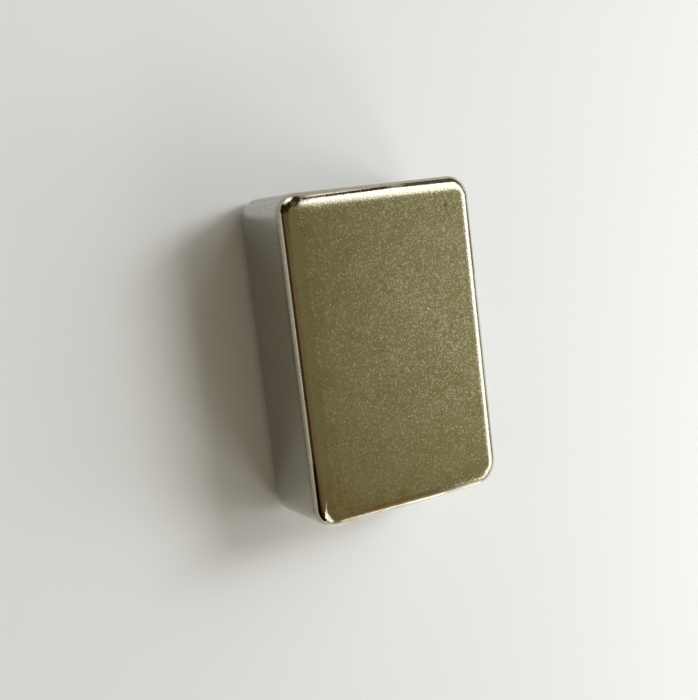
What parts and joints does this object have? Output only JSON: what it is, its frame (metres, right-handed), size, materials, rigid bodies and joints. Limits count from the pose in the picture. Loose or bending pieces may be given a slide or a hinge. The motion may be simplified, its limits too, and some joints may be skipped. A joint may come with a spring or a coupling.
{
  "type": "block magnet",
  "caption": "Rectangular sintered block magnet with flat pole faces, rounded rims and corners, and bright nickel plating.",
  "frame": {"origin": "centre of the lower pole face, which the block rests on", "axes": "+Z along the direction of magnetisation, up; +Y along the block's length; +X across its width"},
  "size_m": [0.02, 0.03, 0.01],
  "materials": {
    "nickel_plating": "bright nickel plating, finely grained on the pole faces and smoother on the sides"
  },
  "bodies": {
    "root": {"magnet_block": "nickel_plating"}
  },
  "joints": []
}
